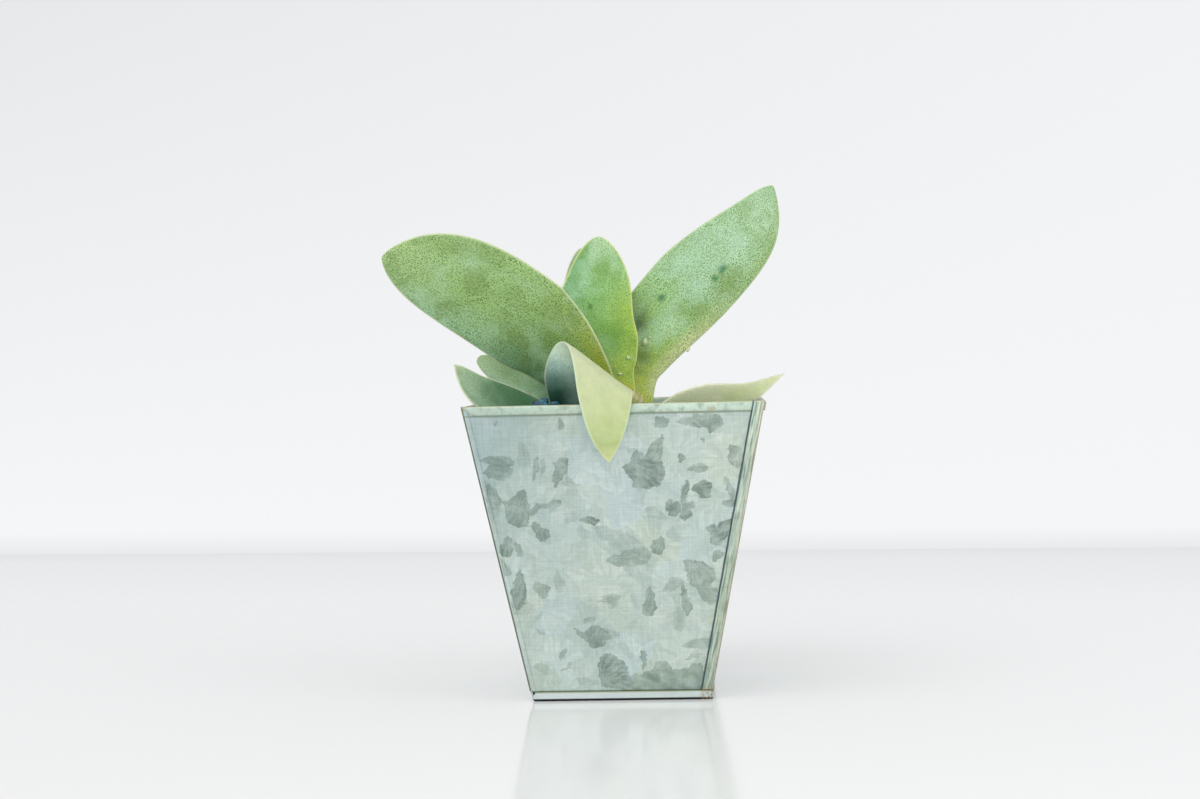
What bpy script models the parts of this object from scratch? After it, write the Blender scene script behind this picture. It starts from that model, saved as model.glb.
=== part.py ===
"""Propeller plant (a crassula) in a square tapered pot of galvanised sheet steel.

Eight thick sickle leaves stand round a short stem. The stem is rooted in a block of soil under a
dressing of gravel. The pot's walls are folded sheet with an outward hem and a locked seam at each
front corner, closed below by a pan whose edge is crimped up round them.

Sizes are in millimetres and MM turns them into metres. The origin is the centre of the pot's
underside, +Z is up, and the front face, which shows one seam at its right edge, looks along -Y.
"""

import math

import bmesh
import bpy
from mathutils import Matrix, Vector, noise

MM = 0.001
CLEARANCE = 0.3  # between pieces that touch on the real thing

# Pot
POT_HEIGHT = 101.6
WALL_BASE_HALF = 29.9  # outside half-width of the wall, taken down to the ground
WALL_TOP_HALF = 49.85  # and at the rim
SHEET = 0.5
CORNER_RADIUS = 0.8
CORNER_SEGMENTS = 3
HEM_DEPTH = 3.2
HEM_PROUD = SHEET + CLEARANCE
SEAM_WIDTH = 3.5
SEAM_PROUD = 1.1
SEAM_LIP = 0.2  # how far a seam stands past its corner
HEM_NOTCH = (3.3, 2.4)  # cut from the hem's left end for the seam there: along it, and up
PAN_NOTCH = (1.9, -1.9)  # and from the pan's edge
PAN_SHEET = 0.4
PAN_ROLL = 0.8
PAN_EDGE = 3.2

# Filling
SOIL_TOP = 86.0
GRAVEL_TOP = 90.5
GRAVEL_LUMP = 1.0
LUMP_SPACING = 7.0
GRAVEL_CELLS = 26
HEAP_CENTRE = Vector((-23.5, -41.0))
HEAP_RADIUS = 6.5
HEAP_RISE = 12.5

# Stem
STEM_X = 5.5
STEM_RADIUS = 4.0
STEM_FOOT = 74.0
STEM_TOP = 100.5
KNUCKLE_RISE = 0.4
KNUCKLE_SPACING = 5.3

# Leaf mesh
LEAF_SIDES = 16
LEAF_RINGS = 22
MARGIN_BLUNTNESS = 0.7  # below 1, the margins are blunter than an ellipse's
TIP_THINNING = 0.45  # share of the thickness lost from stem to tip

# Each leaf: its spine from stem to tip; the directions across it, at even steps along the spine;
# its greatest width and thickness; its width at the stem as a share of the greatest; where along
# the spine it is widest; how it swells up to there; how far it stays full after that; how sharp
# its tip is; and how far its margins lift, as a share of its width.
LEAVES = {
    "leaf_upper_left": dict(
        spine=[(0.4, -2.8, 98.5), (-8.8, -9.6, 105.8), (-25.1, -16.0, 124.4),
               (-51.6, -24.0, 143.0), (-79.1, -30.0, 153.1)],
        across=[(0.3, -0.35, 0.9), (0.2, -0.3, 0.95)],
        width=35.5, thick=3.4, base=0.1, widest=0.55, swell=1.0, full=3.3, tip=0.72, lift=0.04,
    ),
    "leaf_upper_right": dict(
        spine=[(7.2, 6.5, 98.5), (5.6, 10.5, 117.5), (24.6, 15.0, 140.2),
               (46.1, 19.0, 160.6), (56.2, 24.0, 178.0)],
        across=[(-0.8, -0.05, 0.45), (-0.6, -0.3, 0.6)],
        width=31.0, thick=3.4, base=0.25, widest=0.53, swell=1.65, full=1.6, tip=0.72, lift=0.03,
    ),
    "leaf_centre": dict(
        spine=[(4.0, -0.4, 103.0), (-4.6, -0.1, 111.5), (-8.4, 0.5, 128.2),
               (-7.0, 3.0, 145.0), (-6.7, 6.5, 160.2)],
        across=[(1.0, 0.2, 0.0), (1.0, 0.1, 0.1)],
        width=29.0, thick=3.0, base=0.22, widest=0.4, swell=1.2, full=1.9, tip=0.59, lift=-0.06,
    ),
    "leaf_centre_back": dict(
        spine=[(6.4, 3.2, 102.0), (-3.0, 4.4, 115.0), (-11.0, 7.5, 135.0), (-13.4, 12.0, 156.4)],
        across=[(1.0, 0.2, 0.0), (1.0, 0.1, 0.1)],
        width=20.0, thick=2.4, base=0.25, widest=0.5, swell=1.6, full=1.9, tip=0.6, lift=-0.04,
    ),
    "leaf_front": dict(
        spine=[(5.0, -5.2, 96.7), (-9.0, -20.0, 95.8), (-10.3, -32.6, 107.6), (-5.5, -43.9, 113.4),
               (-2.8, -53.6, 107.8), (-2.0, -58.3, 92.6), (-1.5, -57.2, 82.4)],
        across=[(1.0, -0.1, 0.1), (0.87, 0.06, -0.1), (0.73, 0.2, -0.25), (0.67, 0.13, -0.53),
                (0.73, 0.18, -0.52), (0.86, 0.17, -0.24), (0.95, 0.25, 0.0)],
        width=31.0, thick=2.2, base=0.2, widest=0.46, swell=1.6, full=1.1, tip=0.84, lift=0.0,
    ),
    "leaf_low_left": dict(
        spine=[(1.2, -2.6, 94.2), (-17.0, -11.0, 95.0), (-33.0, -15.8, 99.8),
               (-47.2, -21.5, 106.4), (-55.7, -26.0, 115.8)],
        across=[(0.0, 0.95, 0.3), (0.0, 0.65, 0.7), (0.5, 0.3, 0.8)],
        width=16.0, thick=2.4, base=0.3, widest=0.55, swell=1.6, full=1.5, tip=0.8, lift=0.05,
    ),
    "leaf_mid_left": dict(
        spine=[(1.8, 2.2, 96.8), (-13.3, 6.0, 101.5), (-24.5, 10.0, 107.5),
               (-37.5, 13.0, 109.6), (-51.9, 15.0, 117.9)],
        across=[(0.0, 0.7, 0.7), (0.2, 0.6, 0.8)],
        width=17.0, thick=2.4, base=0.3, widest=0.45, swell=1.6, full=1.4, tip=0.4, lift=0.03,
    ),
    "leaf_low_right": dict(
        spine=[(10.1, -1.0, 95.5), (20.0, -4.0, 98.0), (31.0, -6.5, 101.5),
               (44.5, -8.0, 103.3), (58.1, -8.0, 110.0)],
        across=[(0.0, -0.8, 0.5), (0.0, -0.6, 0.7), (0.0, 0.2, 0.9)],
        width=17.0, thick=2.4, base=0.3, widest=0.35, swell=1.4, full=1.2, tip=0.9, lift=0.04,
    ),
}


def wall_half(z):
    """Outside half-width of the pot's wall at a height."""
    return WALL_BASE_HALF + (WALL_TOP_HALF - WALL_BASE_HALF) * z / POT_HEIGHT


def make_collection(name):
    collection = bpy.data.collections.new(name)
    bpy.context.scene.collection.children.link(collection)
    return collection


def make_material(name, colour, roughness, metallic=0.0):
    material = bpy.data.materials.new(name)
    material.use_nodes = True
    shader = material.node_tree.nodes["Principled BSDF"]
    shader.inputs["Base Color"].default_value = (*colour, 1.0)
    shader.inputs["Roughness"].default_value = roughness
    shader.inputs["Metallic"].default_value = metallic
    return material


def add_object(name, shape, collection, material=None, smooth=False):
    """Turns a bmesh in millimetres into an object in metres."""
    bmesh.ops.scale(shape, vec=(MM, MM, MM), verts=shape.verts)
    mesh = bpy.data.meshes.new(name)
    shape.to_mesh(mesh)
    shape.free()
    if smooth:
        mesh.shade_smooth()
        mesh.set_sharp_from_angle(angle=math.radians(40))
    obj = bpy.data.objects.new(name, mesh)
    if material:
        mesh.materials.append(material)
    collection.objects.link(obj)
    return obj


def add_boolean(obj, other, operation):
    """Joins or cuts with a helper object, which stays out of the render."""
    other.hide_render = True
    other.display_type = "WIRE"
    modifier = obj.modifiers.new(other.name, "BOOLEAN")
    modifier.operation = operation
    modifier.solver = "EXACT"
    modifier.object = other


def add_sheet(obj, thickness):
    """Gives an open surface its thickness, on the side that its faces turn away from."""
    modifier = obj.modifiers.new("sheet", "SOLIDIFY")
    modifier.thickness = thickness * MM
    modifier.offset = -1.0
    modifier.use_even_offset = True


def square_taper(low_half, high_half, low, high, capped):
    """A four-sided taper with its faces along X and Y."""
    shape = bmesh.new()
    bmesh.ops.create_cone(
        shape, segments=4, cap_ends=capped, depth=high - low,
        radius1=low_half * math.sqrt(2), radius2=high_half * math.sqrt(2),
        matrix=Matrix.Translation((0, 0, (low + high) / 2)) @ Matrix.Rotation(math.radians(45), 4, "Z"),
    )
    return shape


def round_upright_edges(shape, radius):
    upright = [e for e in shape.edges if abs(e.verts[0].co.z - e.verts[1].co.z) > 1.0]
    bmesh.ops.bevel(shape, geom=upright, offset=radius, segments=CORNER_SEGMENTS, profile=0.5,
                    affect="EDGES")


def end_loop(shape, highest):
    """The open edges at the top or the bottom of a shape."""
    limit = (max if highest else min)(v.co.z for v in shape.verts)
    return [e for e in shape.edges if e.is_boundary and all(abs(v.co.z - limit) < 0.01 for v in e.verts)]


def extend(shape, loop, outward, upward):
    """Extrudes a loop of edges, moving it out from the axis and up. Returns the new loop."""
    made = bmesh.ops.extrude_edge_only(shape, edges=loop)["geom"]
    verts = [g for g in made if isinstance(g, bmesh.types.BMVert)]
    half = max(v.co.x for v in verts)
    bmesh.ops.scale(shape, vec=(1 + outward / half, 1 + outward / half, 1), verts=verts)
    bmesh.ops.translate(shape, vec=(0, 0, upward), verts=verts)
    return [g for g in made if isinstance(g, bmesh.types.BMEdge) and g.is_boundary]


def make_pot_body(parts, cutters, steel):
    """One sheet: the four walls, and the hem that folds out and down round the rim."""
    foot = PAN_ROLL + CLEARANCE
    shape = square_taper(wall_half(foot) - SHEET, wall_half(POT_HEIGHT) - SHEET, foot, POT_HEIGHT, False)
    bmesh.ops.reverse_faces(shape, faces=shape.faces)
    round_upright_edges(shape, CORNER_RADIUS)
    hem_slope = wall_half(POT_HEIGHT - HEM_DEPTH) - wall_half(POT_HEIGHT)
    rim = extend(shape, end_loop(shape, True), SHEET + HEM_PROUD, 0)
    extend(shape, rim, hem_slope, -HEM_DEPTH)
    body = add_object("pot_body", shape, parts, steel)
    add_sheet(body, SHEET)
    notch = make_notch("hem_notch", cutters, HEM_PROUD, POT_HEIGHT - HEM_DEPTH, HEM_NOTCH)
    add_boolean(body, notch, "DIFFERENCE")
    add_boolean(body, make_seam("seam_right", cutters, 0), "UNION")
    add_boolean(body, make_seam("seam_left", cutters, -90), "UNION")


def make_notch(name, cutters, proud, edge, notch):
    """Cuts the left end of an edge strip on the front face, from its free edge up or down to the corner."""
    run, rise = notch
    shape = bmesh.new()
    bmesh.ops.create_cube(shape, size=1.0)
    for vert in shape.verts:
        along = (run + 2 * SHEET) * (vert.co.x + 0.5) - SHEET
        slope = edge + rise * (1 - along / run)
        beyond = edge - math.copysign(2 * SHEET, rise)
        z = max(slope, beyond) if vert.co.z > 0 else min(slope, beyond)
        vert.co.x = along - wall_half(edge) - proud
        vert.co.y = -wall_half(z) - (CLEARANCE / 2 if vert.co.y > 0 else proud + SHEET)
        vert.co.z = z
    return add_object(name, shape, cutters)


def make_seam(name, cutters, turn):
    """The upright fold that locks two sheets, at the right of the front face before it is turned."""
    low = PAN_EDGE + CLEARANCE
    shape = bmesh.new()
    bmesh.ops.create_cube(shape, size=1.0)
    for vert in shape.verts:
        z = low + (POT_HEIGHT - low) * (vert.co.z + 0.5)
        inner = wall_half(z) - SHEET / 2
        vert.co.x = wall_half(z) + SEAM_LIP - (SEAM_WIDTH + SEAM_LIP) * (0.5 - vert.co.x)
        vert.co.y = -inner - (SEAM_PROUD + SHEET / 2) * (0.5 - vert.co.y)
        vert.co.z = z
    bmesh.ops.rotate(shape, matrix=Matrix.Rotation(math.radians(turn), 3, "Z"), verts=shape.verts)
    return add_object(name, shape, cutters)


def make_pot_base(parts, cutters, steel):
    """The pan: a flat floor, a rolled foot and an edge that stands round the walls."""
    reach = PAN_SHEET + CLEARANCE
    shape = square_taper(wall_half(PAN_ROLL) + reach, wall_half(PAN_EDGE) + reach, PAN_ROLL, PAN_EDGE, False)
    round_upright_edges(shape, CORNER_RADIUS)
    roll = extend(shape, end_loop(shape, False), -PAN_ROLL * 0.3, -PAN_ROLL * 0.7)
    roll = extend(shape, roll, -PAN_ROLL * 0.7, -PAN_ROLL * 0.3)
    bmesh.ops.contextual_create(shape, geom=roll)
    bmesh.ops.recalc_face_normals(shape, faces=shape.faces)
    base = add_object("pot_base", shape, parts, steel)
    add_sheet(base, PAN_SHEET)
    notch = make_notch("pan_notch", cutters, reach, PAN_EDGE, PAN_NOTCH)
    add_boolean(base, notch, "DIFFERENCE")


def make_socket(cutters):
    """The hole that the stem's foot leaves in the soil and the gravel."""
    shape = bmesh.new()
    bmesh.ops.create_cone(
        shape, segments=LEAF_SIDES, cap_ends=True, depth=HEAP_RISE + GRAVEL_TOP - STEM_FOOT + CLEARANCE,
        radius1=STEM_RADIUS + KNUCKLE_RISE + CLEARANCE, radius2=STEM_RADIUS + KNUCKLE_RISE + CLEARANCE,
        matrix=Matrix.Translation((STEM_X, 0, (HEAP_RISE + GRAVEL_TOP + STEM_FOOT - CLEARANCE) / 2)),
    )
    return add_object("stem_socket", shape, cutters)


def make_soil(parts, socket, earth):
    """The block of soil and roots that fills the pot."""
    inset = SHEET + CLEARANCE
    low = PAN_SHEET + CLEARANCE
    shape = square_taper(wall_half(low) - inset, wall_half(SOIL_TOP) - inset, low, SOIL_TOP, True)
    round_upright_edges(shape, CORNER_RADIUS)
    soil = add_object("soil", shape, parts, earth)
    add_boolean(soil, socket, "DIFFERENCE")


def gravel_height(x, y):
    """The gravel's uneven surface, and the heap of it against the front wall."""
    lump = GRAVEL_LUMP * noise.noise(Vector((x, y, 0)) / LUMP_SPACING)
    distance = (Vector((x, y)) - HEAP_CENTRE).length / HEAP_RADIUS
    return GRAVEL_TOP + lump + HEAP_RISE * math.exp(-distance ** 4)


def make_gravel(parts, socket, stone):
    """The dressing of gravel on the soil."""
    low = SOIL_TOP + CLEARANCE
    inset = SHEET + CLEARANCE
    shape = bmesh.new()
    bmesh.ops.create_grid(shape, x_segments=GRAVEL_CELLS, y_segments=GRAVEL_CELLS, size=1.0)
    made = bmesh.ops.extrude_face_region(shape, geom=shape.faces[:])["geom"]
    top = [g for g in made if isinstance(g, bmesh.types.BMVert)]
    for vert in shape.verts:
        vert.co.z = low
    for vert in top:
        level = wall_half(GRAVEL_TOP) - inset
        vert.co.z = gravel_height(vert.co.x * level, vert.co.y * level)
    for vert in shape.verts:
        half = wall_half(vert.co.z) - inset
        vert.co.x *= half
        vert.co.y *= half
    under = [f for f in shape.faces if all(abs(v.co.z - low) < 0.001 for v in f.verts)]
    bmesh.ops.dissolve_faces(shape, faces=under)
    bmesh.ops.recalc_face_normals(shape, faces=shape.faces)
    gravel = add_object("gravel", shape, parts, stone)
    add_boolean(gravel, socket, "DIFFERENCE")


def make_stem(parts, flesh):
    """A short fleshy stem, knuckled where leaves have dropped."""
    steps = 20
    length = STEM_TOP - STEM_FOOT
    profile = [(0.0, STEM_TOP)]
    for step in range(steps + 1):
        z = STEM_TOP - length * step / steps
        knuckle = KNUCKLE_RISE * math.cos(2 * math.pi * (STEM_TOP - z) / KNUCKLE_SPACING)
        profile.append((STEM_RADIUS + knuckle, z))
    profile.append((0.0, STEM_FOOT))
    shape = bmesh.new()
    verts = [shape.verts.new((x, 0, z)) for x, z in profile]
    edges = [shape.edges.new(pair) for pair in zip(verts, verts[1:])]
    bmesh.ops.spin(shape, geom=verts + edges, cent=(0, 0, 0), axis=(0, 0, 1), angle=2 * math.pi,
                   steps=LEAF_SIDES, use_merge=True, use_duplicate=False)
    bmesh.ops.remove_doubles(shape, verts=shape.verts, dist=0.001)
    bmesh.ops.recalc_face_normals(shape, faces=shape.faces)
    bmesh.ops.translate(shape, vec=(STEM_X, 0, 0), verts=shape.verts)
    add_object("stem", shape, parts, flesh, smooth=True)


def through(points, t):
    """The point at t, from 0 to 1, on a smooth curve through points."""
    points = [Vector(p) for p in points]
    points = [2 * points[0] - points[1]] + points + [2 * points[-1] - points[-2]]
    spans = len(points) - 3
    place = min(max(t, 0.0), 1.0) * spans
    span = min(int(place), spans - 1)
    u = place - span
    a, b, c, d = points[span:span + 4]
    return 0.5 * (2 * b + (c - a) * u + (2 * a - 5 * b + 4 * c - d) * u ** 2 + (3 * b - a - 3 * c + d) * u ** 3)


def outline(leaf, t):
    """Half the leaf's width at t along its spine, and how much of the tip's rounding is left there."""
    rising = min(t / leaf["widest"], 1.0)
    falling = max((t - leaf["widest"]) / (1 - leaf["widest"]), 0.0)
    swollen = leaf["base"] + (1 - leaf["base"]) * (1 - (1 - rising) ** leaf["swell"])
    fade = (1 - falling ** leaf["full"]) ** leaf["tip"]
    return leaf["width"] / 2 * swollen * fade, fade


def blunt(value):
    return math.copysign(abs(value) ** MARGIN_BLUNTNESS, value)


def leaf_point(leaf, t, turn):
    """A point of the leaf's skin: t along the spine, and turn, an angle round the section."""
    step = 0.001
    centre = through(leaf["spine"], t)
    along = (through(leaf["spine"], t + step) - through(leaf["spine"], t - step)).normalized()
    across = through(leaf["across"], t)
    across = (across - across.dot(along) * along).normalized()
    face = along.cross(across)
    half, fade = outline(leaf, t)
    depth = leaf["thick"] / 2 * (1 - TIP_THINNING * t) * math.sqrt(fade)
    side = math.cos(turn)
    rise = depth * blunt(math.sin(turn)) + leaf["lift"] * half * side ** 2
    return centre + across * half * side + face * rise


def make_leaf(name, leaf, parts, flesh):
    """A ball drawn out into a blade, with one pole at the stem and the other at the tip."""
    shape = bmesh.new()
    bmesh.ops.create_uvsphere(shape, u_segments=LEAF_SIDES, v_segments=LEAF_RINGS, radius=1.0)
    for vert in shape.verts:
        t = min(max((vert.co.z + 1) / 2, 0.0), 1.0)
        vert.co = leaf_point(leaf, t, math.atan2(vert.co.y, vert.co.x))
    add_object(name, shape, parts, flesh, smooth=True)


for old in list(bpy.data.objects):
    bpy.data.objects.remove(old)

parts = make_collection("potted crassula")
cutters = make_collection("cutters")

steel = make_material("galvanised_steel", (0.55, 0.61, 0.60), 0.45, 0.8)
earth = make_material("potting_soil", (0.035, 0.025, 0.018), 0.95)
stone = make_material("dyed_gravel", (0.02, 0.13, 0.22), 0.5)
green_leaf = make_material("leaf_flesh", (0.23, 0.38, 0.19), 0.5)
green_stem = make_material("stem_flesh", (0.38, 0.42, 0.12), 0.55)

make_pot_body(parts, cutters, steel)
make_pot_base(parts, cutters, steel)
socket = make_socket(cutters)
make_soil(parts, socket, earth)
make_gravel(parts, socket, stone)
make_stem(parts, green_stem)
for name, leaf in LEAVES.items():
    make_leaf(name, leaf, parts, green_leaf)
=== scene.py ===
"""Propeller plant in a square tapered pot of galvanised steel: the finished look of the frame's solids.

Sizes are written in millimetres and MM turns them into metres. The pot stands on the ground with its
underside's centre at the origin, +Z is up, and the face with a seam at its right edge looks along -Y.
"""

import math
import random
from functools import partial

import bmesh
import bpy
from mathutils import Matrix, Vector, noise


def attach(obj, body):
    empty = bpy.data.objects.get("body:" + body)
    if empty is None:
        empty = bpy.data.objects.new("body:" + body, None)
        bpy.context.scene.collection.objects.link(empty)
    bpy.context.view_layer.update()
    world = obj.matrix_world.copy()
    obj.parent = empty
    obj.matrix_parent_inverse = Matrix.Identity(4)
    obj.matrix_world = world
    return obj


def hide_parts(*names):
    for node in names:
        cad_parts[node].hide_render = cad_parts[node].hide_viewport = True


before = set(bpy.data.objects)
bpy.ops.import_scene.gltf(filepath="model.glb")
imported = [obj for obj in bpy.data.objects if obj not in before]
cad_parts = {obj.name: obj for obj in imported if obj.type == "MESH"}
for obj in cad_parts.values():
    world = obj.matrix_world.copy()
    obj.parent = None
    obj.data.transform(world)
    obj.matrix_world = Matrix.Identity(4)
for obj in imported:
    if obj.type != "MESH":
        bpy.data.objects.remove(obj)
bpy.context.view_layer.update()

# --- Pot walls -------------------------------------------------------------------------------------
# Galvanised sheet, half a millimetre thick, folded into four tapered walls. The rim is hemmed: the
# sheet turns out and down over itself. Two sheets lock together in an upright seam at each front corner.

MM = 0.001
POT_HEIGHT = 101.6
WALL_BASE_HALF = 29.9
WALL_TOP_HALF = 49.85
WALL_SLOPE = (WALL_TOP_HALF - WALL_BASE_HALF) / POT_HEIGHT
SHEET = 0.5
CORNER_RADIUS = 0.8
FOLD_RADIUS = 0.65
FOLD_STEPS = 6
HEM_DEPTH = 3.2
HEM_PROUD = 0.8
HEM_NOTCH = (3.3, 2.4)
WALL_FOOT = 1.1
SEAM_WIDTH = 3.5
SEAM_PROUD = 1.1
SEAM_LIP = 0.2
SEAM_FOOT = 3.5
SEAM_ROOT = 0.9  # how far it reaches behind the wall's face, past the rounding of the corner
SEAM_ROUNDING = 0.35
SEAM_EDGE_DEPTH = 35.0  # the seam's rounded edges lie this far from the axis or more, its foot doesn't
NOTCH_FLOOR = 0.15  # how far proud of the wall a notch stops
SHARP_BEND = math.radians(35)  # where sheet bends more than this, the edge stays sharp


def wall_half(z):
    """Outside half-width of the walls at a height."""
    return WALL_BASE_HALF + WALL_SLOPE * z


def pick(piece, kind, wanted):
    """In edit mode, selects only the vertices, edges or faces that pass a test."""
    bpy.ops.mesh.select_mode(type=kind)
    bpy.ops.mesh.select_all(action="DESELECT")
    shape = bmesh.from_edit_mesh(piece.data)
    for item in {"VERT": shape.verts, "EDGE": shape.edges, "FACE": shape.faces}[kind]:
        if wanted(item):
            item.select_set(True)
    shape.select_flush_mode()
    bmesh.update_edit_mesh(piece.data)


def settle(name):
    """Names the active object and puts its place, turn and size into its mesh."""
    piece = bpy.context.object
    piece.name = name
    piece.data.name = name
    bpy.ops.object.transform_apply(location=True, rotation=True, scale=True)
    return piece


def start_piece(name, primitive, **settings):
    """Adds a primitive with an operator and its settings, and settles it."""
    bpy.ops.object.select_all(action="DESELECT")
    primitive(**settings)
    return settle(name)


def coat(piece, finish):
    """Gives a piece one finish."""
    piece.data.materials.clear()
    piece.data.materials.append(finish)


def apply_modifier(piece, kind, **settings):
    """Adds a modifier with its settings and makes its result the piece's mesh."""
    modifier = piece.modifiers.new(kind.title(), kind)
    for setting, value in settings.items():
        setattr(modifier, setting, value)
    bpy.ops.object.select_all(action="DESELECT")
    piece.select_set(True)
    bpy.context.view_layer.objects.active = piece
    bpy.ops.object.modifier_apply(modifier=modifier.name)


def boolean(piece, other, operation):
    """Joins another piece on or cuts it away, and removes it."""
    apply_modifier(piece, "BOOLEAN", operation=operation, solver="EXACT", object=other)
    bpy.data.objects.remove(other)


def open_taper(name, low_half, high_half, low, high):
    """Four sheet walls without a top or a floor, their upright edges rounded. Left in edit mode."""
    piece = start_piece(name, bpy.ops.mesh.primitive_cone_add, vertices=4, end_fill_type="NOTHING",
                        radius1=low_half * math.sqrt(2) * MM, radius2=high_half * math.sqrt(2) * MM,
                        depth=(high - low) * MM, location=(0, 0, (low + high) / 2 * MM),
                        rotation=(0, 0, math.radians(45)))
    bpy.ops.object.mode_set(mode="EDIT")
    pick(piece, "EDGE", lambda edge: abs(edge.verts[0].co.z - edge.verts[1].co.z) > 0.5 * MM)
    bpy.ops.mesh.bevel(offset=CORNER_RADIUS * MM, segments=4)
    return piece


def extend_rim(outward, upward):
    """Extrudes the selected open loop, out from the pot's axis and up."""
    shape = bmesh.from_edit_mesh(bpy.context.object.data)
    half = max(vert.co.x for vert in shape.verts if vert.select)
    growth = 1 + outward * MM / half
    bpy.ops.mesh.extrude_region_move(TRANSFORM_OT_translate={"value": (0, 0, upward * MM)})
    bpy.ops.transform.resize(value=(growth, growth, 1), center_override=(0, 0, 0))


def pick_end(piece, highest):
    """Selects the open loop at the top or the foot of a piece."""
    limit = (max if highest else min)(vert.co.z for vert in bmesh.from_edit_mesh(piece.data).verts)
    pick(piece, "EDGE", lambda edge: all(abs(vert.co.z - limit) < 0.01 * MM for vert in edge.verts))


def corner_notch(name, proud, edge, notch):
    """A wedge that cuts an edge strip's left end, from its free edge to the corner."""
    run, rise = notch
    wedge = start_piece(name, bpy.ops.mesh.primitive_cube_add, size=1)
    for vert in wedge.data.vertices:
        along = (run + 2 * SHEET) * (vert.co.x + 0.5) - SHEET
        slope = edge + rise * (1 - along / run)
        beyond = edge - math.copysign(2 * SHEET, rise)
        z = max(slope, beyond) if vert.co.z > 0 else min(slope, beyond)
        y = -wall_half(z) - (NOTCH_FLOOR if vert.co.y > 0 else proud + SHEET)
        vert.co = Vector((along - wall_half(edge) - proud, y, z)) * MM
    return wedge


def seam_strip(name, turn):
    """The locked fold of two sheets up a corner, its outer edges rounded except at the foot."""
    strip = start_piece(name, bpy.ops.mesh.primitive_cube_add, size=1)
    for vert in strip.data.vertices:
        z = SEAM_FOOT + (POT_HEIGHT - SEAM_FOOT) * (vert.co.z + 0.5)
        x = wall_half(z) + SEAM_LIP - (SEAM_WIDTH + SEAM_LIP) * (0.5 - vert.co.x)
        y = -wall_half(z) + SEAM_ROOT - (SEAM_PROUD + SEAM_ROOT) * (0.5 - vert.co.y)
        vert.co = Vector((x, y, z)) * MM
    bpy.ops.object.mode_set(mode="EDIT")
    pick(strip, "EDGE", lambda edge: sum(vert.co.y for vert in edge.verts) / 2 < -SEAM_EDGE_DEPTH * MM
         and all(vert.co.y < -(wall_half(vert.co.z / MM) + 0.5) * MM for vert in edge.verts))
    bpy.ops.mesh.bevel(offset=SEAM_ROUNDING * MM, segments=3)
    bpy.ops.mesh.select_all(action="SELECT")
    bpy.ops.transform.rotate(value=math.radians(-turn), orient_axis="Z", center_override=(0, 0, 0))
    bpy.ops.object.mode_set(mode="OBJECT")
    return strip


walls = open_taper("pot_walls", wall_half(WALL_FOOT) - SHEET, wall_half(POT_HEIGHT - FOLD_RADIUS) - SHEET,
                   WALL_FOOT, POT_HEIGHT - FOLD_RADIUS)
bpy.ops.mesh.select_all(action="SELECT")
bpy.ops.mesh.normals_make_consistent(inside=True)
pick_end(walls, True)
for step in range(FOLD_STEPS):
    start = math.pi * step / FOLD_STEPS
    end = math.pi * (step + 1) / FOLD_STEPS
    extend_rim(FOLD_RADIUS * (math.cos(start) - math.cos(end)),
               FOLD_RADIUS * (math.sin(end) - math.sin(start)))
extend_rim(-WALL_SLOPE * (HEM_DEPTH - FOLD_RADIUS), FOLD_RADIUS - HEM_DEPTH)
bpy.ops.object.mode_set(mode="OBJECT")
apply_modifier(walls, "SOLIDIFY", thickness=SHEET * MM, offset=-1, use_even_offset=True)
boolean(walls, corner_notch("hem_notch", HEM_PROUD, POT_HEIGHT - HEM_DEPTH, HEM_NOTCH), "DIFFERENCE")
boolean(walls, seam_strip("seam_right", 0), "UNION")
boolean(walls, seam_strip("seam_left", -90), "UNION")
bpy.ops.object.shade_smooth_by_angle(angle=SHARP_BEND)


def colour(code):
    """An sRGB hex colour as the linear values that a shader takes."""
    parts = [int(code[i:i + 2], 16) / 255 for i in (1, 3, 5)]
    return tuple(c / 12.92 if c <= 0.04045 else ((c + 0.055) / 1.055) ** 2.4 for c in parts) + (1.0,)


MODES = {"Math": "operation", "VectorMath": "operation", "Mix": "data_type", "TexNoise": "noise_dimensions",
         "TexVoronoi": "voronoi_dimensions"}


def add_node(tree, kind, *inputs, stops=(), **settings):
    """Adds a node of a kind, which its mode may follow, with its settings and colour stops. Its inputs are
    values or other nodes' outputs, in order or by name in a dictionary. It gives the first output."""
    kind, _, mode = kind.partition(" ")
    made = tree.nodes.new(kind if kind.startswith("Node") else "ShaderNode" + kind)
    if mode:
        setattr(made, MODES[kind], mode)
    for setting, value in settings.items():
        setattr(made, setting, value)
    for index, (position, code) in enumerate(stops):
        stop = made.color_ramp.elements[index] if index < 2 else made.color_ramp.elements.new(position)
        stop.position = position
        stop.color = colour(code)
    sockets = [socket for socket in made.inputs if socket.enabled]
    given = []
    for value in inputs:
        if isinstance(value, dict):
            given += [(made.inputs[name], named) for name, named in value.items()]
        else:
            given.append((sockets[len(given)], value))
    for socket, value in given:
        if isinstance(value, bpy.types.NodeSocket):
            tree.links.new(value, socket)
        else:
            socket.default_value = value
    return next((output for output in made.outputs if output.enabled), None)


def feed(shader, socket, value):
    """Links a node's output to a socket of the shader."""
    value.id_data.links.new(value, shader.inputs[socket])


def new_finish(name):
    """An empty material: add_node for its tree, its shader and its object coordinates."""
    finish = bpy.data.materials.new(name)
    finish.use_nodes = True
    node = partial(add_node, finish.node_tree)
    place = node("TexCoord").node.outputs["Object"]
    return finish, node, finish.node_tree.nodes["Principled BSDF"], place


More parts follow.
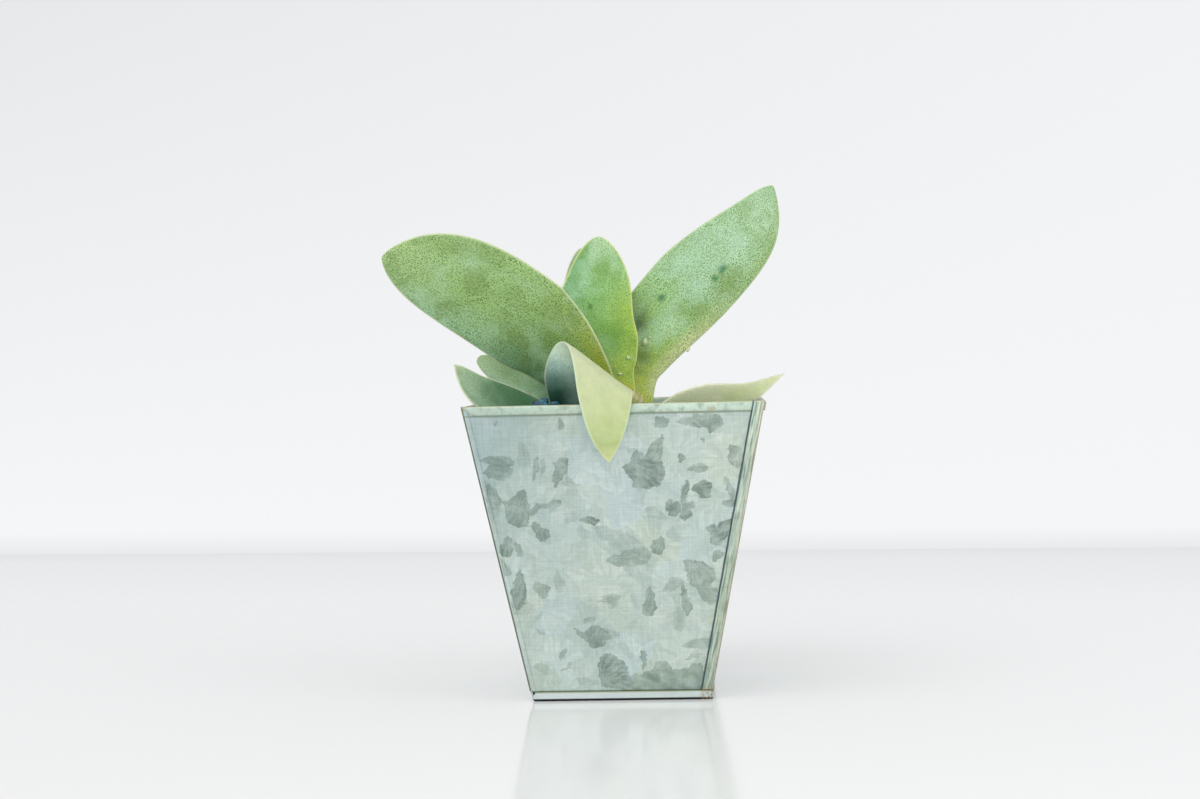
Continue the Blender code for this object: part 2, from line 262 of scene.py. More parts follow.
def zinc_feather():
    """One crystal as a group, in millimetres: a pointed, streaked feather over what comes before it."""
    group = bpy.data.node_groups.new("zinc feather", "ShaderNodeTree")
    for name, kind in [("Place", "Vector"), ("Root", "Vector"), ("Along", "Vector"), ("Across", "Vector"),
                       ("Length", "Float"), ("Half", "Float"), ("Tone", "Float"), ("Before", "Float")]:
        group.interface.new_socket(name, in_out="INPUT", socket_type="NodeSocket" + kind)
    group.interface.new_socket("After", in_out="OUTPUT", socket_type="NodeSocketFloat")
    node = partial(add_node, group)
    given = node("NodeGroupInput").node.outputs
    offset = node("VectorMath SUBTRACT", given["Place"], given["Root"])
    along = node("VectorMath DOT_PRODUCT", offset, given["Along"])
    across = node("VectorMath DOT_PRODUCT", offset, given["Across"])
    share = node("Math DIVIDE", along, given["Length"], use_clamp=True)
    opening = node("Math POWER", share, 0.8)
    closing = node("Math POWER", node("Math SUBTRACT", 1.0, share), 0.4)
    width = node("Math MULTIPLY", node("Math MULTIPLY", opening, closing), 2.15)
    room = node("Math MULTIPLY_ADD", width, given["Half"],
                node("Math MULTIPLY", node("Math ABSOLUTE", across), -1.0))
    inside = node("MapRange", room, 0.0, 0.3)
    fan = node("Math DIVIDE", across, node("Math ADD", node("Math ABSOLUTE", along), 0.5))
    streak = node("Math SINE", node("Math MULTIPLY_ADD", fan, 26.0, along))
    shade = node("Math MULTIPLY_ADD", streak, 0.14, 0.86)
    strength = node("Math MULTIPLY", node("Math MULTIPLY", inside, given["Tone"]), shade)
    after = node("Math MAXIMUM", strength, given["Before"])
    node("NodeGroupOutput", {"After": after})
    return group


# Hot-dipped zinc freezes into a spangle: pale overlapping crystals with scalloped edges, and among them
# dark ones shaped like feathers, fans and petals. The sheet was then brushed both ways, which left a fine
# weave of scratches, and its folds and cut edges have gone olive and tan.
FEATHERS = [  # on the front: root across and up, direction in degrees, length, half-width and tone
    (15.9, 91.3, -114, 13.0, 2.4, 0.7), (2.1, 80.5, -14, 13.5, 4.2, 0.85), (7.1, 86.8, -82, 6.5, 2.2, 0.7),
    (5.6, 73.5, 38, 8.0, 2.6, 0.8), (20.8, 95.5, -2, 14.5, 2.0, 0.7), (31.5, 91.5, 80, 6.0, 3.2, 0.8),
    (14.7, 97.6, -70, 4.0, 2.0, 0.7), (21.6, 66.6, 75, 8.5, 1.3, 0.8), (21.6, 66.6, 178, 5.0, 1.7, 0.9),
    (21.6, 66.4, 215, 4.5, 1.3, 0.8), (21.8, 66.6, 10, 3.8, 1.5, 0.9), (21.8, 66.4, -65, 4.2, 1.5, 0.8),
    (25.4, 72.3, 0, 6.0, 2.8, 0.9), (38.8, 63.0, -128, 11.0, 2.3, 0.9), (32.7, 61.0, 230, 3.6, 1.3, 0.8),
    (35.0, 66.8, 15, 4.6, 1.5, 0.7), (38.0, 87.4, -60, 7.6, 2.5, 0.7), (35.7, 76.8, -65, 8.0, 1.0, 0.6),
    (22.0, 85.2, -95, 3.2, 1.0, 0.8), (28.3, 89.1, 0, 1.8, 0.8, 0.8), (23.1, 78.6, 10, 7.2, 1.3, 0.7),
    (14.7, 57.2, -105, 6.6, 2.1, 0.8), (0.2, 50.4, 0, 10.0, 2.6, 0.6), (-13.5, 63.2, -8, 7.2, 1.1, 0.9),
    (-9.7, 60.5, -25, 19.0, 2.8, 0.3), (-28.8, 62.4, -52, 7.6, 2.0, 0.75), (-29.9, 64.0, 48, 5.5, 1.0, 0.6),
    (-27.5, 66.5, 18, 8.5, 0.9, 0.6), (-21.1, 73.7, 65, 10.0, 1.8, 0.8), (-21.7, 82.3, -12, 5.2, 1.5, 0.8),
    (-27.6, 76.0, 78, 7.6, 1.0, 0.6), (-24.6, 77.6, 82, 6.0, 0.8, 0.5), (-31.4, 74.2, -102, 13.0, 3.4, 0.75),
    (-38.7, 69.3, -20, 6.5, 1.8, 0.7), (-45.6, 83.5, -5, 11.5, 2.0, 0.7), (-44.8, 79.5, 0, 9.5, 2.5, 0.65),
    (-42.9, 76.4, -75, 9.5, 2.0, 0.7), (-36.8, 58.2, -100, 7.5, 1.8, 0.8), (-34.9, 56.6, -70, 6.0, 1.3, 0.6),
    (-31.0, 88.8, -85, 4.6, 0.7, 0.5), (-39.5, 97.0, -90, 2.2, 0.9, 0.7), (-18.0, 98.0, -85, 4.6, 0.9, 0.6),
    (-33.3, 46.3, -95, 13.5, 2.3, 0.75), (-29.0, 41.6, -45, 6.2, 2.0, 0.7), (-40.6, 50.3, -60, 7.0, 1.5, 0.6),
    (-4.6, 48.5, 5, 12.5, 2.4, 0.6), (-8.5, 34.2, 12, 8.6, 1.1, 0.5), (10.5, 40.5, -95, 10.6, 2.0, 0.8),
    (21.0, 41.6, -80, 11.6, 1.4, 0.8), (14.0, 37.5, 30, 8.0, 1.8, 0.4), (21.8, 48.7, -45, 12.0, 3.8, 0.65),
    (26.0, 38.5, -25, 7.6, 2.5, 0.6), (-16.2, 25.6, -35, 9.6, 1.4, 0.7), (-9.3, 18.1, 82, 7.4, 2.9, 0.85),
    (-9.3, 18.4, 42, 7.0, 1.5, 0.8), (-12.7, 27.5, 20, 4.0, 0.8, 0.5), (-20.5, 14.2, 72, 4.2, 0.9, 0.6),
    (-20.5, 10.3, 40, 4.0, 0.6, 0.5), (-29.4, 26.0, -35, 4.0, 0.7, 0.5), (-7.3, 6.0, 50, 10.0, 4.6, 0.85),
    (-7.6, 5.5, 2, 35.0, 3.8, 0.75), (9.0, 5.0, 40, 9.6, 3.6, 0.65), (27.0, 5.0, 120, 7.0, 3.2, 0.6),
    (7.8, 9.5, 93, 7.6, 0.9, 0.6), (20.2, 18.9, 5, 9.6, 1.8, 0.55), (21.4, 14.2, 15, 6.2, 0.9, 0.4),
    (31.8, 47.9, 50, 4.2, 1.6, 0.7),
]
spangled, node, shader, place = new_finish("brushed galvanised steel with a spangle")
x, y, z = node("SeparateXYZ", node("VectorMath SCALE", place, 1 / MM)).node.outputs
x_size = node("Math ABSOLUTE", x)
y_size = node("Math ABSOLUTE", y)
outer = node("Math MAXIMUM", x_size, y_size)
corner = node("Math SUBTRACT", outer, node("Math MINIMUM", x_size, y_size))
proud = node("Math SUBTRACT", outer, node("Math MULTIPLY_ADD", z, WALL_SLOPE, WALL_BASE_HALF))
sideways = node("Math GREATER_THAN", x_size, y_size)
far = node("Math GREATER_THAN", node("Math ADD", x, y), 0.0)
across = node("Math MULTIPLY_ADD", sideways, node("Math SUBTRACT", y, x), x)
# Each wall's places are shifted far from the others', so that no two walls show the same part of a pattern.
across = node("Math MULTIPLY_ADD", sideways, 1000.0, across)
across = node("Math MULTIPLY_ADD", far, 500.0, across)
flat = node("CombineXYZ", across, z)


def stray(node, flat, size, reach):
    """A place in a wall's plane pushed about by noise, which makes a pattern's edges ragged."""
    blow = node("TexNoise", flat, 1 / size, 3)
    push = node("VectorMath SUBTRACT", blow.node.outputs["Color"], (0.5, 0.5, 0.5))
    return node("VectorMath MULTIPLY_ADD", push, (reach, reach, 0), flat)


def line_at(node, value, low, high, soft):
    """1 where a value lies between two others, with soft ends."""
    return node("Math MULTIPLY", node("MapRange", value, low - soft, low + soft),
                node("MapRange", value, high + soft, high - soft))


def lay_tarnish_or_painted_light(node, under, code, *shares):
    """Lays one more tint, of tarnish or of painted shade or highlight, over those so far: their colour, and
    the share of zinc that is still bare.
    """
    share = shares[0]
    for other in shares[1:]:
        share = node("Math MULTIPLY", share, other)
    return (node("Mix RGBA", share, under[0], colour(code)),
            node("Math MULTIPLY", under[1], node("Math SUBTRACT", 1.0, share)))


# Where things are: the front wall, its two sides, the hem below the rim, the seams and the pan's edge.
half = node("Math MULTIPLY_ADD", z, WALL_SLOPE, WALL_BASE_HALF)
front = node("Math LESS_THAN", across, 200.0)
right = node("Math GREATER_THAN", x, 0.0)
left = node("Math LESS_THAN", x, 0.0)
flank = node("Math SUBTRACT", x_size, half)
raised = node("MapRange", proud, 0.35, 0.5)
above_pan = node("Math GREATER_THAN", z, 3.4)
on_seam = node("Math MULTIPLY", node("MapRange", proud, 0.9, 1.0), above_pan)
on_hem = node("Math MULTIPLY", node("Math SUBTRACT", raised, on_seam), node("MapRange", z, 98.2, 98.3))
on_pan = node("Math MULTIPLY", raised, node("MapRange", z, 3.35, 3.25))
off_seam = node("Math SUBTRACT", 1.0, on_seam)
fade = node("TexNoise", flat, 1 / 5, 3)
blotched = node("MapRange", fade, 0.52, 0.66)
rough_edge = node("Math MULTIPLY_ADD", fade, 0.8, -0.4)
ragged_flank = node("Math MULTIPLY_ADD", rough_edge, 0.5, flank)
ragged_height = node("Math ADD", z, rough_edge)
# Tarnish on the folds and cut edges, and painted light: painted shade under the hem, along the front seam's
# step, on the left seam's fold edge, inside the walls and at the foot, and a painted highlight along the
# rim's bend.
tarnish_and_painted_light = ((0, 0, 0, 1), 1.0)
tarnish_and_painted_light = lay_tarnish_or_painted_light(node, tarnish_and_painted_light, "#b4c8b2", on_hem, 0.5)
tarnish_and_painted_light = lay_tarnish_or_painted_light(node, tarnish_and_painted_light, "#a6b8a2", on_seam, 0.6)
tarnish_and_painted_light = lay_tarnish_or_painted_light(node, tarnish_and_painted_light, "#d6dee0", on_pan, 0.75)
# Painted shade: the hem darkens towards its lower edge, and a painted shadow line lies on the wall just below
# it.
tarnish_and_painted_light = lay_tarnish_or_painted_light(node, tarnish_and_painted_light, "#7a8a70", on_hem, node("MapRange", z, 98.9, 98.5), 0.7)
tarnish_and_painted_light = lay_tarnish_or_painted_light(node, tarnish_and_painted_light, "#7a8a72", line_at(node, z, 97.9, 98.5, 0.1), off_seam, 0.55)
tarnish_and_painted_light = lay_tarnish_or_painted_light(node, tarnish_and_painted_light, "#98a070", on_pan, node("MapRange", z, 2.7, 3.0), 0.8)
tarnish_and_painted_light = lay_tarnish_or_painted_light(node, tarnish_and_painted_light, "#5f6f5c", line_at(node, z, 3.2, 3.6, 0.1), 0.7)
# Painted shadow: a near-black contact line along the foot.
tarnish_and_painted_light = lay_tarnish_or_painted_light(node, tarnish_and_painted_light, "#141817", node("MapRange", z, 1.0, 0.65), 1.0)
# Painted shade along the left seam's fold edge, just beside the front wall's plane.
shaded_fold_edge = node("MapRange", node("Math ADD", y, half), 0.5, 0.3)
tarnish_and_painted_light = lay_tarnish_or_painted_light(node, tarnish_and_painted_light, "#59635c", shaded_fold_edge, left, node("MapRange", flank, 0.45, 0.6), 0.9)
# Painted shade on the inner faces of the walls below the rim, deeper towards the left.
inside = node("Math MULTIPLY", node("MapRange", proud, -0.3, -0.4), node("MapRange", z, 101.4, 97.0))
tarnish_and_painted_light = lay_tarnish_or_painted_light(node, tarnish_and_painted_light, "#20241f", inside, node("MapRange", x, 5.0, -25.0, 0.5, 0.9))
tarnish_and_painted_light = lay_tarnish_or_painted_light(node, tarnish_and_painted_light, "#748873", on_hem, blotched, 0.65)
tarnish_and_painted_light = lay_tarnish_or_painted_light(node, tarnish_and_painted_light, "#9c8f6c", on_hem, node("MapRange", fade, 0.42, 0.34), 0.5)
tarnish_and_painted_light = lay_tarnish_or_painted_light(node, tarnish_and_painted_light, "#788a78", on_seam, blotched, 0.5)
seam_place = node("CombineXYZ", flank, z)
# Streaks 0.6 mm wide and 12 mm long.
streaky = node("TexNoise", node("VectorMath MULTIPLY", seam_place, (1 / 0.6, 1 / 12, 1)), 1.0, 2)
tarnish_and_painted_light = lay_tarnish_or_painted_light(node, tarnish_and_painted_light, "#5f7468", on_seam, node("MapRange", streaky, 0.5, 0.62), 0.7)
tarnish_and_painted_light = lay_tarnish_or_painted_light(node, tarnish_and_painted_light, "#d3ddc9", on_seam, node("MapRange", streaky, 0.44, 0.34), 0.7)
# A pale olive band along the rim's bend: tarnish, and a painted highlight.
tarnish_and_painted_light = lay_tarnish_or_painted_light(node, tarnish_and_painted_light, "#c4bf98", node("MapRange", ragged_height, 101.0, 101.5), 0.55)
# Painted shadow line along the step where the front seam strip lies on the wall.
tarnish_and_painted_light = lay_tarnish_or_painted_light(node, tarnish_and_painted_light, "#4c6166", line_at(node, ragged_flank, -3.95, -3.3, 0.1), front, right,
                    above_pan, 0.9)
tarnish_and_painted_light = lay_tarnish_or_painted_light(node, tarnish_and_painted_light, "#b3a588", on_seam, front, right,
                    line_at(node, ragged_flank, -0.95, -0.65, 0.1), 0.5)
tarnish_and_painted_light = lay_tarnish_or_painted_light(node, tarnish_and_painted_light, "#a08d6e", raised, right, front,
                    node("MapRange", ragged_flank, -0.35, -0.05), 0.65)
ragged_corner = node("Math ADD", corner, rough_edge)
tarnish_and_painted_light = lay_tarnish_or_painted_light(node, tarnish_and_painted_light, "#93966c", node("MapRange", ragged_corner, 2.2, 0.6), left, on_hem, 0.6)
crumpled = node("TexNoise", flat, 1 / 0.9, 2)
heel = node("Math MULTIPLY", node("MapRange", flank, -4.5, -2.5), node("MapRange", z, 5.0, 3.6))
heel = node("Math MULTIPLY", node("Math MULTIPLY", heel, right), front)
tarnish_and_painted_light = lay_tarnish_or_painted_light(node, tarnish_and_painted_light, "#a89468", heel, node("MapRange", crumpled, 0.48, 0.56), 0.7)
tarnish_and_painted_light = lay_tarnish_or_painted_light(node, tarnish_and_painted_light, "#46524c", heel, node("MapRange", crumpled, 0.44, 0.36), 0.8)

# The spangle: pale crystals of two sizes, 13 and 4.5 mm, the larger ones streaked outward from the point
# where they began to freeze.
scalloped = stray(node, flat, 4.0, 5.0)
ragged = stray(node, flat, 2.4, 3.4)
patch = node("TexVoronoi 2D", scalloped, 1 / 13.0).node.outputs
small_patch = node("TexVoronoi 2D", scalloped, 1 / 4.5).node.outputs
tint = node("SeparateColor", patch["Color"]).node.outputs
small_tint = node("SeparateColor", small_patch["Color"]).node.outputs
zinc = node("Mix RGBA", tint[0], colour("#c3d3d3"), colour("#c7d3c6"))
zinc = node("Mix RGBA", node("Math MULTIPLY", tint[1], 0.5), zinc, colour("#a9bbb3"))
lit = node("MapRange", small_tint[0], 0.5, 0.9)
zinc = node("Mix RGBA", node("Math MULTIPLY", lit, 0.3), zinc, colour("#dbe2da"))
dull = node("MapRange", small_tint[1], 0.7, 0.9)
zinc = node("Mix RGBA", node("Math MULTIPLY", dull, 0.25), zinc, colour("#9bada1"))
from_root = node("VectorMath SUBTRACT", scalloped, patch["Position"])
from_root = node("SeparateXYZ", from_root).node.outputs
turned = node("Math ARCTAN2", from_root["Y"], from_root["X"])
turned = node("Math MULTIPLY_ADD", turned, 3.2, node("Math MULTIPLY", tint[0], 40.0))
ray = node("MapRange", node("TexNoise 1D", turned, 1.0, 2), 0.62, 0.36)
zinc = node("Mix RGBA", node("Math MULTIPLY", ray, 0.2), zinc, colour("#8b9f93"))
bluish = node("Math MULTIPLY", node("MapRange", across, -12.0, -42.0, 0.0, 0.5),
              node("MapRange", z, 45.0, 80.0))
zinc = node("Mix RGBA", node("Math MULTIPLY", bluish, front), zinc, colour("#93aaac"))
feather = zinc_feather()
pointing = node("Math MULTIPLY", tint[2], 2 * math.pi)
sine = node("Math SINE", pointing)
cosine = node("Math COSINE", pointing)
along = node("CombineXYZ", cosine, sine)
across_it = node("CombineXYZ", node("Math MULTIPLY", sine, -1.0), cosine)
fat = node("Math MULTIPLY_ADD", tint[0], 2.4, 1.0)
plain = node("Math MULTIPLY_ADD", front, -0.45, 0.75)
tone = node("Math MULTIPLY", node("MapRange", tint[1], 0.3, 0.5), plain)
dark = node("Group", ragged, patch["Position"], along, across_it, 9.0, fat, tone, 0.0, node_tree=feather)
for across_at, up_at, direction, length, width, tone in FEATHERS:
    cosine, sine = math.cos(math.radians(direction)), math.sin(math.radians(direction))
    dark = node("Group", ragged, (across_at, up_at, 0), (cosine, sine, 0), (-sine, cosine, 0),
                length * 1.08, width * 1.22, tone, dark, node_tree=feather)
faded = node("Math MULTIPLY_ADD", node("MapRange", fade, 0.35, 0.6), 0.5, 0.5)
faded = node("Math MULTIPLY", faded, node("Math MULTIPLY_ADD", raised, -0.6, 1.0))
dark = node("Math MULTIPLY", dark, faded)
zinc = node("Mix RGBA", dark, zinc, colour("#687d70"))


def brushing(node, flat, stretch):
    """Fine scratches along one axis of a wall."""
    return node("TexNoise", node("VectorMath MULTIPLY", flat, stretch), 1.0, 1)


# The real scratches lie about 0.3 mm apart. They are drawn 0.5 mm wide so that they show at arm's length,
# and 9 or 14 mm long.
woven = node("Math ADD", brushing(node, flat, (1 / 0.5, 1 / 14, 1)),
             brushing(node, flat, (1 / 9, 1 / 0.5, 1)))
grey = node("Math MULTIPLY_ADD", woven, 0.24, 0.76)
zinc = node("Mix RGBA", 1.0, zinc, node("CombineColor", grey, grey, grey), blend_type="MULTIPLY")
zinc = node("Mix RGBA", tarnish_and_painted_light[1], (0, 0, 0, 1), zinc)
zinc = node("Mix RGBA", 1.0, zinc, tarnish_and_painted_light[0], blend_type="ADD")
feed(shader, "Base Color", zinc)
shader.inputs["Metallic"].default_value = 0.6
shader.inputs["Roughness"].default_value = 0.5
dents = node("TexNoise", flat, 1 / 14, 2)  # shallow dents about 14 mm across
height = node("Math MULTIPLY_ADD", woven, 0.03, dents)
feed(shader, "Normal", node("Bump", {"Height": height, "Distance": 0.6 * MM, "Strength": 0.4}))
coat(walls, spangled)
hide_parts("pot_body")
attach(walls, "root")

# --- Pot base --------------------------------------------------------------------------------------
# A pan of the same sheet closes the pot below. Its edge is rolled at the foot and stands up round the
# walls, crimped on them.

PAN_SHEET = 0.4
PAN_ROLL = 0.8
PAN_EDGE = 3.2
PAN_NOTCH = (1.9, -1.9)
PAN_GAP = 0.3
PAN_REACH = PAN_SHEET + PAN_GAP
PAN_STEPS = 4

base = open_taper("pot_pan", wall_half(PAN_ROLL) + PAN_REACH, wall_half(PAN_EDGE) + PAN_REACH, PAN_ROLL,
                  PAN_EDGE)
pick_end(base, False)
for step in range(PAN_STEPS):
    start = math.pi / 2 * step / PAN_STEPS
    end = math.pi / 2 * (step + 1) / PAN_STEPS
    extend_rim(PAN_ROLL * (math.cos(end) - math.cos(start)), PAN_ROLL * (math.sin(start) - math.sin(end)))
bpy.ops.mesh.edge_face_add()
bpy.ops.mesh.select_all(action="SELECT")
bpy.ops.mesh.normals_make_consistent(inside=False)
bpy.ops.object.mode_set(mode="OBJECT")
apply_modifier(base, "SOLIDIFY", thickness=PAN_SHEET * MM, offset=-1, use_even_offset=True)
boolean(base, corner_notch("pan_notch", PAN_REACH, PAN_EDGE, PAN_NOTCH), "DIFFERENCE")
bpy.ops.object.shade_smooth_by_angle(angle=SHARP_BEND)
coat(base, spangled)
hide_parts("pot_base")
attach(base, "root")

# --- Soil ------------------------------------------------------------------------------------------
# A block of dark peat soil and roots under the gravel. The frame's solid stays, in a crumbly finish.

peat, node, shader, place = new_finish("damp peat soil")
crumb = node("TexNoise", place, 900, 4)  # crumbs about 1.1 mm across
feed(shader, "Base Color", node("Mix RGBA", crumb, colour("#1d1612"), colour("#3b2d22")))
shader.inputs["Roughness"].default_value = 0.95
coat(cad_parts["soil"], peat)

# --- Gravel ----------------------------------------------------------------------------------------
# Crushed stone dyed blue, two to five millimetres, spread over the soil, with a heap against the front
# wall. The frame's gravel solid stays as the dark bed that the loose stones sit in.

STONE_SIZE = 3.6
STONE_SPACING = 3.3
HEAP_CENTRE = Vector((-23.5, -41.0))
HEAP_RADIUS = 6.5
HEAP_RISE = 12.5
GRAVEL_TOP = 90.5
STEM_X = 5.5
STEM_CLEARANCE = 6.5
WALL_CLEARANCE = 0.4
STONE_BEND = math.radians(30)  # sharper bends than this stay as edges

dyed, node, shader, place = new_finish("blue dyed crushed stone")
grain = node("TexNoise", place, 330, 3)  # clouds of dye about 3 mm across
blue = node("ValToRGB", grain, stops=[(0.35, "#072a36"), (0.55, "#18546a"), (0.72, "#4a92aa")])
feed(shader, "Base Color", blue)
shader.inputs["Roughness"].default_value = 0.38
coat(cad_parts["gravel"], dyed)


def copy_to(pattern, place):
    """A copy of a piece with a mesh of its own, moved and shaped by a matrix."""
    copied = pattern.copy()
    copied.data = pattern.data.copy()
    copied.data.transform(place)
    bpy.context.collection.objects.link(copied)
    return copied


def join_copies(name, copies, pattern):
    """Joins copies into one piece and removes the piece that they were made from."""
    bpy.data.objects.remove(pattern)
    bpy.ops.object.select_all(action="DESELECT")
    for copied in copies:
        copied.select_set(True)
    bpy.context.view_layer.objects.active = copies[0]
    bpy.ops.object.join()
    return settle(name)


random.seed(7)
pebble = start_piece("gravel_stone", bpy.ops.mesh.primitive_ico_sphere_add, subdivisions=2, radius=0.5)
for vert in pebble.data.vertices:
    vert.co *= 1 + 0.55 * noise.noise(vert.co * 1.7 + Vector((3.1, 0.4, 1.9)))
stones = []
cells = int(2 * wall_half(GRAVEL_TOP) / STONE_SPACING)
for row in range(cells):
    for column in range(cells):
        half = wall_half(GRAVEL_TOP) - SHEET - STONE_SIZE / 2 - WALL_CLEARANCE
        x = -half + 2 * half * (column + random.uniform(0.1, 0.9)) / cells
        y = -half + 2 * half * (row + random.uniform(0.1, 0.9)) / cells
        size = STONE_SIZE * random.uniform(0.7, 1.2)
        turn = Matrix.Rotation(random.uniform(0, 6.28), 4, (random.uniform(-1, 1), random.uniform(-1, 1), 1))
        if (Vector((x, y)) - Vector((STEM_X, 0))).length < STEM_CLEARANCE:
            continue
        rise = HEAP_RISE * math.exp(-((Vector((x, y)) - HEAP_CENTRE).length / HEAP_RADIUS) ** 4)
        place_at = Matrix.Translation(Vector((x, y, GRAVEL_TOP + rise)) * MM)
        shape = Matrix.Diagonal((size * MM, size * 0.8 * MM, size * 0.6 * MM, 1))
        stones.append(copy_to(pebble, place_at @ turn @ shape))
stones = join_copies("gravel_stones", stones, pebble)
bpy.ops.object.shade_smooth_by_angle(angle=STONE_BEND)
coat(stones, dyed)
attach(stones, "root")

# --- Stem ------------------------------------------------------------------------------------------
# A short fleshy stem, knuckled where old leaves have dropped, rooted in the soil. It is almost hidden.

flesh, node, shader, place = new_finish("young stem with old leaf scars")
scar = node("TexNoise", place, 400, 3)  # scars about 2.5 mm across
scarred = node("Mix RGBA", node("MapRange", scar, 0.45, 0.7), colour("#b3b257"), colour("#8a6a3c"))
feed(shader, "Base Color", scarred)
shader.inputs["Roughness"].default_value = 0.55
coat(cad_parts["stem"], flesh)

# --- Leaves ----------------------------------------------------------------------------------------
# Eight thick, flat, sickle-shaped leaves of water-storing flesh under a waxy, dotted skin. Each clasps
# the stem with its foot, narrow on most, and widens to a blade with a pale blunt margin.

MARGIN_BLUNTNESS = 0.7
TIP_THINNING = 0.45
LEAF_SIDES = 48
LEAF_RINGS = 96
SPINE_STEPS = 50
FACES_APART = 40.0  # sets the patterns of a leaf's two faces apart
DOT_SPACING = 0.58
GLOW_DEPTH = 8.0  # how deep light goes into the flesh
# Each leaf has its spine from stem to tip; the directions across it, at even steps along the spine; its
# width and thickness; its width at the stem as a share of the whole; where it is widest; how it swells up
# to there; how long it stays full after that; how its tip rounds; and how far its margins lift.
LEAVES = {
    "leaf_upper_left": dict(
        spine=[(0.4, -2.8, 98.5), (-8.8, -9.6, 105.8), (-25.1, -16.0, 124.4),
               (-51.6, -24.0, 143.0), (-79.1, -30.0, 153.1)],
        across=[(0.3, -0.35, 0.9), (0.2, -0.3, 0.95)],
        width=35.5, thick=3.4, base=0.1, widest=0.55, swell=1.0, full=3.3, tip=0.72, lift=0.04,
    ),
    "leaf_upper_right": dict(
        spine=[(2.1, 6.5, 98.5), (4.2, 10.0, 117.0), (23.8, 15.0, 139.5),
               (46.1, 19.0, 160.6), (56.2, 24.0, 178.0)],
        across=[(-0.8, -0.05, 0.45), (-0.6, -0.3, 0.6)],
        width=31.0, thick=3.4, base=0.55, widest=0.53, swell=1.38, full=1.6, tip=0.72, lift=0.03,
    ),
    "leaf_centre": dict(
        spine=[(2.0, -0.4, 101.5), (-4.4, -0.1, 111.5), (-8.4, 0.5, 128.2),
               (-7.0, 3.0, 145.0), (-6.7, 6.5, 160.2)],
        across=[(1.0, 0.2, 0.0), (1.0, 0.1, 0.1)],
        width=29.0, thick=3.0, base=0.3, widest=0.4, swell=1.2, full=1.9, tip=0.59, lift=-0.06,
    ),
    "leaf_centre_back": dict(
        spine=[(1.5, 3.2, 102.0), (-5.0, 4.4, 115.0), (-11.0, 7.5, 135.0), (-13.4, 12.0, 156.4)],
        across=[(1.0, 0.2, 0.0), (1.0, 0.1, 0.1)],
        width=20.0, thick=2.4, base=0.25, widest=0.5, swell=1.6, full=1.9, tip=0.6, lift=-0.04,
    ),
    "leaf_front": dict(
        spine=[(5.0, -5.2, 96.7), (-9.0, -20.0, 95.8), (-10.3, -32.6, 107.6), (-5.5, -43.9, 113.4),
               (-2.8, -53.6, 107.8), (-2.0, -58.3, 92.6), (-1.5, -57.2, 82.4)],
        across=[(1.0, -0.1, 0.1), (0.87, 0.06, -0.1), (0.73, 0.2, -0.25), (0.67, 0.13, -0.53),
                (0.73, 0.18, -0.52), (0.86, 0.17, -0.24), (0.95, 0.25, 0.0)],
        width=31.0, thick=2.2, base=0.2, widest=0.46, swell=1.6, full=1.1, tip=0.84, lift=0.0,
    ),
    "leaf_low_left": dict(
        spine=[(1.2, -2.6, 94.2), (-17.0, -11.0, 95.0), (-33.0, -15.8, 99.8),
               (-47.2, -21.5, 106.4), (-55.7, -26.0, 115.8)],
        across=[(0.0, 0.95, 0.3), (0.0, 0.65, 0.7), (0.5, 0.3, 0.8)],
        width=16.0, thick=2.4, base=0.3, widest=0.55, swell=1.6, full=1.5, tip=0.8, lift=0.05,
    ),
    "leaf_mid_left": dict(
        spine=[(1.8, 2.2, 96.8), (-13.3, 6.0, 101.5), (-24.5, 10.0, 107.5),
               (-37.5, 13.0, 109.6), (-51.9, 15.0, 117.9)],
        across=[(0.0, 0.7, 0.7), (0.2, 0.6, 0.8)],
        width=17.0, thick=2.4, base=0.3, widest=0.45, swell=1.6, full=1.4, tip=0.4, lift=0.03,
    ),
    "leaf_low_right": dict(
        spine=[(10.1, -1.0, 95.5), (20.0, -4.0, 98.0), (31.0, -6.5, 101.5),
               (44.5, -8.0, 103.3), (58.1, -8.0, 110.0)],
        across=[(0.0, -0.8, 0.5), (0.0, -0.6, 0.7), (0.0, 0.2, 0.9)],
        width=17.0, thick=2.4, base=0.3, widest=0.35, swell=1.4, full=1.2, tip=0.9, lift=0.04,
    ),
}


def through(points, t):
    """The point at t, from 0 to 1, on a smooth curve through points."""
    points = [Vector(p) for p in points]
    points = [2 * points[0] - points[1]] + points + [2 * points[-1] - points[-2]]
    spans = len(points) - 3
    share = min(max(t, 0.0), 1.0) * spans
    span = min(int(share), spans - 1)
    u = share - span
    a, b, c, d = points[span:span + 4]
    point = 2 * b + (c - a) * u + (2 * a - 5 * b + 4 * c - d) * u ** 2
    return 0.5 * (point + (3 * b - a - 3 * c + d) * u ** 3)


def leaf_outline(leaf, t):
    """Half the blade's width at t along its spine, and how much of the tip's rounding is left there."""
    rising = min(t / leaf["widest"], 1.0)
    falling = max((t - leaf["widest"]) / (1 - leaf["widest"]), 0.0)
    swollen = leaf["base"] + (1 - leaf["base"]) * (1 - (1 - rising) ** leaf["swell"])
    fade = (1 - falling ** leaf["full"]) ** leaf["tip"]
    return leaf["width"] / 2 * swollen * fade, fade


def leaf_frame(leaf, t):
    """The spine's point at t, the direction across the blade there and the way its upper face looks."""
    step = 0.001
    centre = through(leaf["spine"], t)
    along = (through(leaf["spine"], t + step) - through(leaf["spine"], t - step)).normalized()
    across = through(leaf["across"], t)
    across = (across - across.dot(along) * along).normalized()
    return centre, across, along.cross(across)


